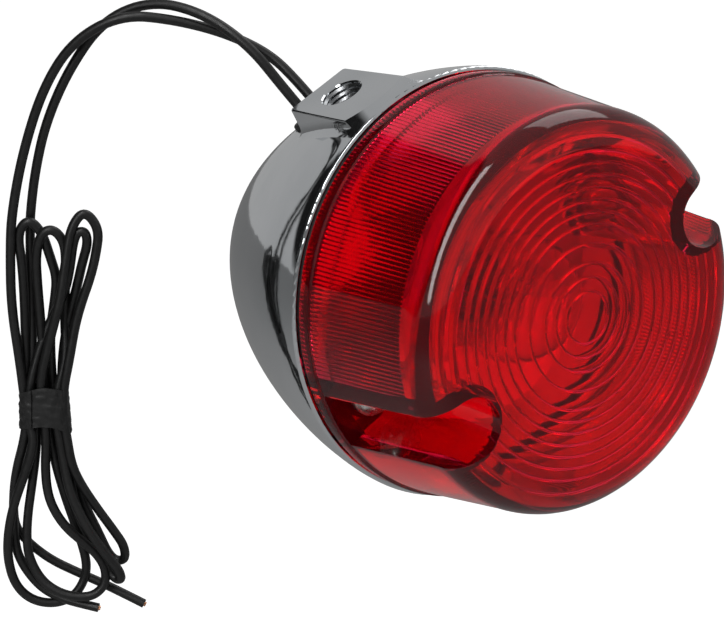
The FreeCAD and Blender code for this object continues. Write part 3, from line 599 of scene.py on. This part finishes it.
def make_inside_lead(name, side, replaced):
    """From a contact stud out through the back of the socket and up to the grommet."""
    route = (
        (side * CONTACT_X, STUD_END_Y, 0.0), (side * CONTACT_X, STUD_END_Y + 4.0, 0.0),
        (side * CONTACT_X, STUD_END_Y + 8.5, 0.2), (side * 3.4, 50.5, 6.5), (side * 3.2, 48.0, 15.5),
        (side * 2.6, 39.5, 20.5), (side * 2.0, 30.5, 22.0), (side * GROMMET_BORE_X, 25.4, 31.5),
        (side * GROMMET_BORE_X, 27.4, 35.4), (side * GROMMET_BORE_X, GROMMET_MOUTH_Y, GROMMET_MOUTH_Z),
    )
    points = [LIGHT @ Vector(point) for point in route]
    lead = linked(name, spline_mesh(name, points, LEAD_DIAMETER / 2))
    lead.data.shade_smooth()
    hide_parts(replaced)
    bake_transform(lead)
    return lead


def tape_point(turn, share, grow):
    """A point of the tape: turn is how far round from its free end, share how far up.

    Its lower edge dips to the right and its upper edge rises in front, as it was pulled round.
    """
    angle = 2 * math.pi * turn + TAPE_END_ANGLE
    across, towards = math.cos(angle), math.sin(angle)
    low = TAPE_BOTTOM - 1.3 * max(across, 0.0) ** 2 + 0.7 * max(towards, 0.0) * (1 - abs(across))
    high = TAPE_TOP + 0.9 * max(towards, 0.0) * (1 - abs(across - 0.1)) - 0.5 * max(-across, 0.0)
    up = low + (high - low) * share
    ripple = noise.noise(Vector((3.0 * math.cos(angle), 3.0 * math.sin(angle), 0.9 * up)))
    crease = noise.noise(Vector((9.0 * math.cos(angle), 9.0 * math.sin(angle), 2.0 * up + 7.0)))
    lap = TAPE_PROUD * min(1.0, 6.0 * turn)
    out = grow - lap + TAPE_RIPPLE * ripple + TAPE_CREASE * crease
    width = TAPE_HALF_WIDTH + out - TAPE_TAPER * up
    depth = TAPE_HALF_DEPTH + out
    return hank(
        width * math.copysign(abs(across) ** TAPE_SQUARENESS, across),
        depth * math.copysign(abs(towards) ** TAPE_SQUARENESS, towards),
        up,
    )


def make_tape():
    """One and a bit turns of tape, its free end standing a little proud down the left side."""
    around, along = 150, 26
    turns = [TAPE_FIRST_TURN + TAPE_TURNS * i / around for i in range(around + 1)]
    shares = [j / along for j in range(along + 1)]
    bm = bmesh.new()
    outer, inner = (
        [[bm.verts.new(tape_point(turn, share, grow)) for share in shares] for turn in turns]
        for grow in (TAPE_PROUD, TAPE_PROUD - TAPE_THICKNESS)
    )
    for i in range(around):
        for j in range(along):
            bm.faces.new((outer[i][j], outer[i + 1][j], outer[i + 1][j + 1], outer[i][j + 1]))
            bm.faces.new((inner[i][j], inner[i][j + 1], inner[i + 1][j + 1], inner[i + 1][j]))
        for j in (0, along):
            bm.faces.new((outer[i][j], inner[i][j], inner[i + 1][j], outer[i + 1][j]))
    for i in (0, around):
        for j in range(along):
            bm.faces.new((outer[i][j], outer[i][j + 1], inner[i][j + 1], inner[i][j]))
    bmesh.ops.recalc_face_normals(bm, faces=bm.faces)
    tape = mesh_object("tape_wrap", bm)
    smooth(tape, 50.0)
    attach(tape, "housing")
    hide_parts("hank_tape")
    return tape


thread = make_thread()
spring = make_spring()
inside_a = make_inside_lead("lead_a_run", 1, "lead_a_inside")
inside_b = make_inside_lead("lead_b_run", -1, "lead_b_inside")
tape = make_tape()


# --- Materials -------------------------------------------------------------------------------
def new_material(name, **values):
    """A material with one Principled shader, whose constant values are set on its own sockets."""
    material = bpy.data.materials.new(name)
    material.use_nodes = True
    shader = material.node_tree.nodes["Principled BSDF"]
    for key, value in values.items():
        socket = shader.inputs[key.replace("_", " ").title().replace("Ior", "IOR")]
        socket.default_value = value
    return material


def noise_node(material, scale, detail=3.0):
    """Noise in the piece's own metres: scale is the number of lumps in a metre."""
    nodes, links = material.node_tree.nodes, material.node_tree.links
    coordinates = nodes.new("ShaderNodeTexCoord")
    texture = nodes.new("ShaderNodeTexNoise")
    texture.inputs["Scale"].default_value = scale
    texture.inputs["Detail"].default_value = detail
    links.new(coordinates.outputs["Object"], texture.inputs["Vector"])
    return texture


def spread(material, source, low, high):
    """Spreads noise, which stays mostly between 0.3 and 0.7, from low to high."""
    nodes, links = material.node_tree.nodes, material.node_tree.links
    ranged = nodes.new("ShaderNodeMapRange")
    ranged.inputs["From Min"].default_value = 0.3
    ranged.inputs["From Max"].default_value = 0.7
    ranged.inputs["To Min"].default_value = low
    ranged.inputs["To Max"].default_value = high
    links.new(source, ranged.inputs["Value"])
    return ranged.outputs["Result"]


def vary_roughness(material, scale, low, high):
    shader = material.node_tree.nodes["Principled BSDF"]
    texture = noise_node(material, scale)
    roughness = spread(material, texture.outputs["Fac"], low, high)
    material.node_tree.links.new(roughness, shader.inputs["Roughness"])


def vary_colour(material, scale, dark, light):
    nodes, links = material.node_tree.nodes, material.node_tree.links
    texture = noise_node(material, scale)
    ramp = nodes.new("ShaderNodeValToRGB")
    ramp.color_ramp.elements[0].position = 0.35
    ramp.color_ramp.elements[0].color = (*dark, 1.0)
    ramp.color_ramp.elements[1].position = 0.65
    ramp.color_ramp.elements[1].color = (*light, 1.0)
    links.new(texture.outputs["Fac"], ramp.inputs["Fac"])
    links.new(ramp.outputs["Color"], nodes["Principled BSDF"].inputs["Base Color"])


def add_bump(material, scale, height_mm, detail=3.0):
    nodes, links = material.node_tree.nodes, material.node_tree.links
    texture = noise_node(material, scale, detail)
    bump = nodes.new("ShaderNodeBump")
    bump.inputs["Distance"].default_value = height_mm * MM
    bump.inputs["Strength"].default_value = 1.0
    links.new(texture.outputs["Fac"], bump.inputs["Height"])
    links.new(bump.outputs["Normal"], nodes["Principled BSDF"].inputs["Normal"])


def chrome():
    material = new_material("chrome_plate", metallic=1.0)
    vary_colour(material, 60.0, (0.70, 0.725, 0.745), (0.76, 0.78, 0.80))
    vary_roughness(material, 900.0, 0.05, 0.09)
    add_bump(material, 140.0, 0.012)
    return material


def red_lens(name, rough_low, rough_high):
    material = new_material(
        name, base_color=(0.98, 0.01, 0.06, 1.0), transmission_weight=0.97, ior=1.49,
        specular_ior_level=0.28,
    )
    vary_roughness(material, 500.0, rough_low, rough_high)
    add_bump(material, 120.0, 0.006)
    return material


def rubber(name, shade, rough_low=0.45, rough_high=0.62):
    material = new_material(name)
    vary_colour(material, 900.0, (shade * 0.8,) * 3, (shade * 1.25,) * 3)
    vary_roughness(material, 700.0, rough_low, rough_high)
    add_bump(material, 2600.0, 0.012)
    return material


def metal(name, dark, light, rough_low, rough_high, grain=1800.0, bump=0.008):
    material = new_material(name, metallic=1.0)
    vary_colour(material, 240.0, dark, light)
    vary_roughness(material, grain, rough_low, rough_high)
    add_bump(material, grain, bump)
    return material


def clear_glass():
    material = new_material(
        "bulb_envelope", base_color=(0.97, 0.98, 0.98, 1.0), transmission_weight=1.0, ior=1.5
    )
    vary_roughness(material, 300.0, 0.0, 0.03)
    add_bump(material, 90.0, 0.02)
    return material


def paint(node, material):
    data = NODES[node].data
    data.materials.clear()
    data.materials.append(material)


def paint_everything():
    chrome_plate = chrome()
    gasket = rubber("gasket_rubber", 0.008)
    sheath = rubber("pvc_sheath", 0.008, 0.34, 0.48)
    brass = metal("brass", (0.62, 0.42, 0.16), (0.76, 0.55, 0.24), 0.22, 0.36)
    zinc = metal("zinc_plate", (0.62, 0.64, 0.62), (0.74, 0.75, 0.72), 0.22, 0.38)
    socket_steel = metal("socket_plate", (0.50, 0.50, 0.47), (0.62, 0.61, 0.57), 0.26, 0.42)
    finishes = {
        "housing": chrome_plate,
        "lens_gasket": gasket,
        "wire_grommet": rubber("grommet_rubber", 0.018),
        "lens_washer_upper": zinc,
        "lens_washer_lower": zinc,
        "lens_screw_upper": zinc,
        "lens_screw_lower": zinc,
        "reflector": metal("bright_plate", (0.80, 0.81, 0.82), (0.88, 0.88, 0.88), 0.10, 0.22),
        "socket_shell": socket_steel,
        "contact_disc": rubber("phenolic", 0.05),
        "contact_studs": brass,
        "bulb_glass": clear_glass(),
        "bulb_base": metal("nickel_cap", (0.66, 0.62, 0.54), (0.78, 0.74, 0.66), 0.2, 0.34),
        "bulb_insulator": rubber("black_glass", 0.01),
        "bulb_contacts": metal("solder", (0.52, 0.52, 0.53), (0.66, 0.66, 0.67), 0.3, 0.46),
        "bulb_pins": metal("pin_brass", (0.60, 0.50, 0.34), (0.72, 0.62, 0.44), 0.22, 0.36),
        "bulb_stem": clear_glass(),
        "bulb_supports": metal("support_wire", (0.50, 0.49, 0.47), (0.62, 0.61, 0.58), 0.25, 0.4),
        "bulb_filaments": metal("tungsten", (0.30, 0.30, 0.31), (0.42, 0.42, 0.43), 0.35, 0.5),
    }
    for node, material in finishes.items():
        paint(node, material)
    copper = metal("copper_wire", (0.72, 0.36, 0.20), (0.86, 0.48, 0.30), 0.2, 0.35)
    piece_finishes = (
        # The thread is painted much darker than the chrome housing it is cut in: painted shade for the
        # inside of the stem hole.
        (thread, metal("thread_painted_shade_metal", (0.26, 0.27, 0.28), (0.40, 0.41, 0.42), 0.25, 0.35)),
        (spring, metal("spring_wire", (0.40, 0.40, 0.41), (0.52, 0.52, 0.53), 0.25, 0.4)),
        (lens, red_lens("red_acrylic", 0.01, 0.04)),
        (lens, red_lens("red_acrylic_optics", 0.05, 0.09)),
        (lead_a, sheath),
        (lead_b, sheath),
        (inside_a, sheath),
        (inside_b, sheath),
        (strands_a, copper),
        (strands_b, copper),
        (tape, rubber("vinyl_tape", 0.012, 0.36, 0.55)),
    )
    for piece, material in piece_finishes:
        piece.data.materials.append(material)


paint_everything()


# --- Floor and light -------------------------------------------------------------------------
FLOOR_Z = -0.42
FLOOR_HALF = 12.0
ROOM_LIGHT = 0.38
LENS_LIGHT = 0.85
FLOOR_GLOW = 0.9
# The room is dark round this direction, and fades to grey between the two nearnesses to it.
DARK_SIDE = (-0.749, 0.398, 0.53)
DARK_FADE = (0.72, 0.76)
DARK_LIGHT = 0.01
LIGHT_MIDDLE = LIGHT @ Vector((0.0, 0.0, 0.0))


def by_ray(node_tree, kind, value, otherwise):
    """One value for rays of this kind and another for all others; either may be a socket."""
    path = node_tree.nodes.new("ShaderNodeLightPath")
    ranged = node_tree.nodes.new("ShaderNodeMapRange")
    ranged.inputs["To Max"].default_value = value
    if isinstance(otherwise, float):
        ranged.inputs["To Min"].default_value = otherwise
    else:
        node_tree.links.new(otherwise, ranged.inputs["To Min"])
    node_tree.links.new(path.outputs[kind], ranged.inputs["Value"])
    return ranged.outputs["Result"]


def make_floor():
    """A pale floor, which is brighter to the camera than in reflections."""
    bm = bmesh.new()
    bmesh.ops.create_grid(bm, x_segments=1, y_segments=1, size=FLOOR_HALF)
    floor = mesh_object("floor", bm)
    floor.location.z = FLOOR_Z
    material = new_material("floor_paint", base_color=(0.5, 0.5, 0.5, 1.0), roughness=0.9)
    add_bump(material, 60.0, 0.05)
    shader = material.node_tree.nodes["Principled BSDF"]
    shader.inputs["Emission Color"].default_value = (1.0, 1.0, 1.0, 1.0)
    glow = by_ray(material.node_tree, "Is Camera Ray", FLOOR_GLOW, 0.0)
    material.node_tree.links.new(glow, shader.inputs["Emission Strength"])
    floor.data.materials.append(material)


def soft_light(name, where, aim, width, height, power):
    data = bpy.data.lights.new(name, "AREA")
    data.shape = "RECTANGLE"
    data.size = width
    data.size_y = height
    data.energy = power
    light = bpy.data.objects.new(name, data)
    bpy.context.scene.collection.objects.link(light)
    light.location = where
    light.rotation_euler = (Vector(aim) - Vector(where)).to_track_quat("-Z", "Y").to_euler()


def make_world():
    """White to the camera, light grey through the lens, and else a grey room with a dark side."""
    world = bpy.data.worlds.new("studio")
    world.use_nodes = True
    nodes, links = world.node_tree.nodes, world.node_tree.links
    background = nodes["Background"]
    background.inputs["Color"].default_value = (1.0, 1.0, 1.0, 1.0)
    direction = nodes.new("ShaderNodeTexCoord")
    nearness = nodes.new("ShaderNodeVectorMath")
    nearness.operation = "DOT_PRODUCT"
    nearness.inputs[1].default_value = DARK_SIDE
    links.new(direction.outputs["Generated"], nearness.inputs[0])
    room = nodes.new("ShaderNodeMapRange")
    room.inputs["From Min"].default_value = DARK_FADE[0]
    room.inputs["From Max"].default_value = DARK_FADE[1]
    room.inputs["To Min"].default_value = ROOM_LIGHT
    room.inputs["To Max"].default_value = DARK_LIGHT
    links.new(nearness.outputs["Value"], room.inputs["Value"])
    through = by_ray(world.node_tree, "Is Transmission Ray", LENS_LIGHT, room.outputs["Result"])
    strength = by_ray(world.node_tree, "Is Camera Ray", 1.0, through)
    links.new(strength, background.inputs["Strength"])
    bpy.context.scene.world = world


make_floor()
make_world()
soft_light("key_light", (-0.62, -0.34, 0.56), LIGHT_MIDDLE, width=0.16, height=1.3, power=5.0)
soft_light("top_light", (0.5, 0.1, 0.75), LIGHT_MIDDLE, width=0.5, height=0.5, power=1.5)
bpy.context.scene.view_settings.view_transform = "Standard"
